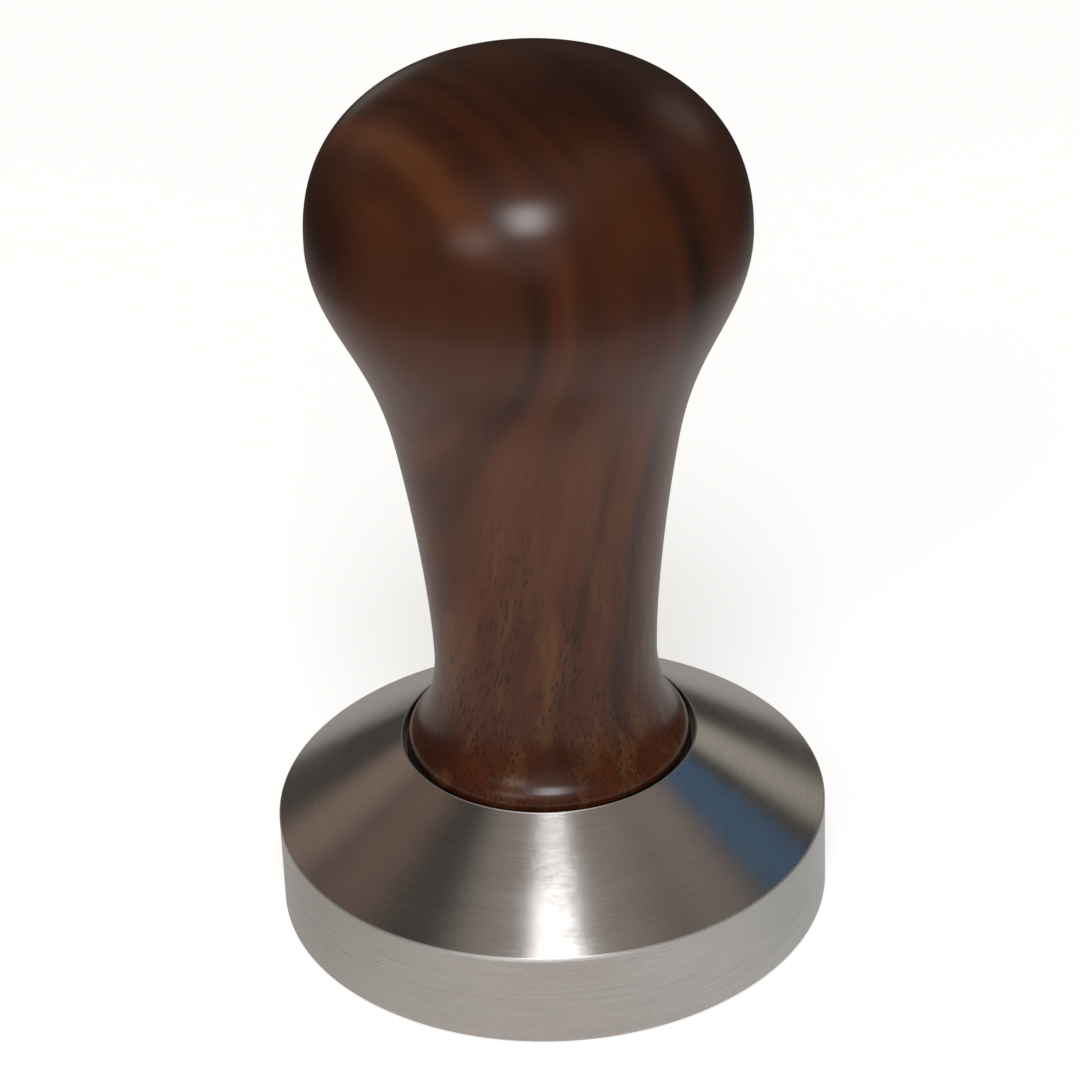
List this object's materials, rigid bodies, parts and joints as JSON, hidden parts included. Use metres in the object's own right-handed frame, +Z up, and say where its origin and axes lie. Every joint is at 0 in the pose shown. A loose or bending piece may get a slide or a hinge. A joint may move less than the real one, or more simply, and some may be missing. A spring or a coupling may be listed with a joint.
{
  "type": "espresso tamper",
  "caption": "Espresso tamper: a flat steel base with a coned top and a turned wooden handle that widens to a domed knob and screws onto a stud in the base.",
  "frame": {"origin": "centre of the flat tamping face, on the plane the tamper stands on", "axes": "+Z up along the turning axis, from the tamping face to the knob; the object is round about Z, so X and Y are free, and the insert's screwdriver slot runs along X"},
  "size_m": [0.058, 0.058, 0.0954],
  "materials": {
    "turned_steel": "fine turned brushing, satin",
    "stud_steel": "rolled thread, plain steel",
    "brass": "machined",
    "black_rubber": "matt",
    "walnut": "dark red-brown hardwood under satin lacquer"
  },
  "bodies": {
    "base": {"base": "turned_steel", "threaded_stud": "stud_steel"},
    "gasket": {"gasket": "black_rubber"},
    "handle": {"handle": "walnut", "brass_insert": "brass"}
  },
  "joints": [
    {"name": "handle_turn", "type": "hinge", "parent": "base", "child": "gasket", "pos_m": [0, 0, 0.0182], "axis": [0, 0, 1], "range_deg": [0, 3780]},
    {"name": "handle_lift", "type": "slide", "parent": "gasket", "child": "handle", "axis": [0, 0, 1], "range_m": [0, 0.01312]}
  ],
  "couplings": [
    {"joint": "handle_lift", "follows": "handle_turn", "m_per_rad": 0.00019894}
  ]
}
